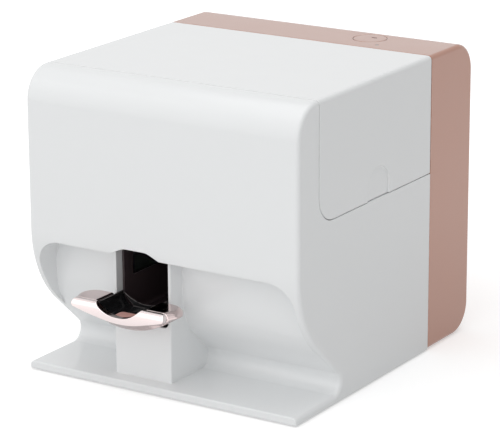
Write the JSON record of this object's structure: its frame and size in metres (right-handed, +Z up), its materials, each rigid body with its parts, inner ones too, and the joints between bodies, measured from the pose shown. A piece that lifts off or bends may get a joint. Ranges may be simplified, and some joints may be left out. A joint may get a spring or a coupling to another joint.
{
  "type": "digital nail art printer",
  "caption": "Free-standing nail printer: S-curved housing, finger slot with floating finger rest, hinged cartridge cover, power button, two-axis print carriage.",
  "frame": {"origin": "on the surface that the feet stand on, under the middle of the whole printer's footprint, finger rest included", "axes": "+Z up, +Y from the finger slot to the back, +X to the right seen from the front"},
  "size_m": [0.211, 0.2498, 0.2085],
  "materials": {
    "white_shell": "gloss",
    "rose_shell": "satin",
    "rose_chrome": "mirror",
    "black_gloss": "gloss",
    "rose_pad": "matte",
    "dark_liner": "gloss",
    "dark_plastic": "matte",
    "grey_plastic": "matte",
    "steel": "ground",
    "sheet_steel": "zinc plated",
    "bronze": "sintered",
    "black_rubber": "matte",
    "board_green": "satin",
    "lamp": "translucent"
  },
  "bodies": {
    "housing": {"front_housing": "white_shell", "rear_housing": "rose_shell", "hinge_pin": "steel", "base_pan": "dark_plastic", "rubber_feet": "black_rubber", "slot_liner": "dark_liner", "rest_guide_rods": "steel", "rest_spring": "steel", "indicator_lamp": "lamp", "button_board": "board_green", "button_switch": "dark_plastic", "chassis": "sheet_steel", "rail_blocks": "sheet_steel", "gantry_rails": "steel", "gantry_motor": "steel", "service_station": "grey_plastic", "cap_seal": "black_rubber", "wiper_blade": "black_rubber", "main_board": "board_green", "board_standoffs": "steel", "board_chips": "dark_plastic", "board_plugs": "grey_plastic", "power_inlet": "dark_plastic", "cover_switch": "dark_plastic"},
    "cover": {"cartridge_cover": "white_shell"},
    "finger_rest": {"finger_rest_wings": "rose_chrome", "finger_rest_lip": "rose_chrome", "finger_tray": "black_gloss", "finger_pad": "rose_pad", "rest_slider": "dark_plastic"},
    "button": {"power_button": "rose_shell", "button_mark": "dark_plastic"},
    "lead_screw": {"lead_screw": "steel"},
    "gantry": {"gantry_frame": "sheet_steel", "gantry_bushings": "bronze", "carriage_shafts": "steel", "lead_nut": "bronze", "carriage_motor": "steel", "idler_pin": "steel", "carriage_belt": "black_rubber", "encoder_strip": "grey_plastic"},
    "drive_pulley": {"drive_pulley": "grey_plastic"},
    "idler_pulley": {"idler_pulley": "grey_plastic"},
    "carriage": {"print_carriage": "dark_plastic", "carriage_bushings": "bronze", "belt_clamp": "dark_plastic", "ink_cartridge": "black_gloss", "nozzle_plate": "steel", "latch_pin": "steel", "nail_camera": "dark_plastic"},
    "latch": {"cartridge_latch": "grey_plastic"}
  },
  "joints": [
    {"name": "cover_hinge", "type": "hinge", "parent": "housing", "child": "cover", "pos_m": [-0.1025, 0, 0.2], "axis": [0, -1, 0], "range_deg": [0, 95]},
    {"name": "button_press", "type": "slide", "parent": "housing", "child": "button", "axis": [0, 0, -1], "range_m": [0, 0.0008], "stiffness_N_per_m": 1200, "springref_m": -0.001},
    {"name": "rest_float", "type": "slide", "parent": "housing", "child": "finger_rest", "axis": [0, 0, -1], "range_m": [0, 0.004], "stiffness_N_per_m": 900, "springref_m": -0.004, "deforming": ["rest_spring"]},
    {"name": "gantry_slide", "type": "slide", "parent": "housing", "child": "gantry", "axis": [0, -1, 0], "range_m": [0, 0.03]},
    {"name": "screw_spin", "type": "hinge", "parent": "housing", "child": "lead_screw", "pos_m": [-0.077, 0.0461, 0.119], "axis": [0, 1, 0], "range_deg": [-10, 1360]},
    {"name": "carriage_slide", "type": "slide", "parent": "gantry", "child": "carriage", "axis": [-1, 0, 0], "range_m": [0, 0.1]},
    {"name": "drive_pulley_spin", "type": "hinge", "parent": "gantry", "child": "drive_pulley", "pos_m": [0.074, 0.0175, 0.121], "axis": [0, 1, 0], "range_deg": [-5, 895]},
    {"name": "idler_pulley_spin", "type": "hinge", "parent": "gantry", "child": "idler_pulley", "pos_m": [-0.062, 0.0175, 0.121], "axis": [0, 1, 0], "range_deg": [-5, 895]},
    {"name": "latch_hinge", "type": "hinge", "parent": "carriage", "child": "latch", "pos_m": [0.055, 0.0026, 0.142], "axis": [-1, 0, 0], "range_deg": [0, 80]}
  ],
  "couplings": [
    {"joint": "screw_spin", "follows": "gantry_slide", "rad_per_m": 785.4},
    {"joint": "drive_pulley_spin", "follows": "carriage_slide", "rad_per_m": 155.04},
    {"joint": "idler_pulley_spin", "follows": "carriage_slide", "rad_per_m": 155.04}
  ]
}
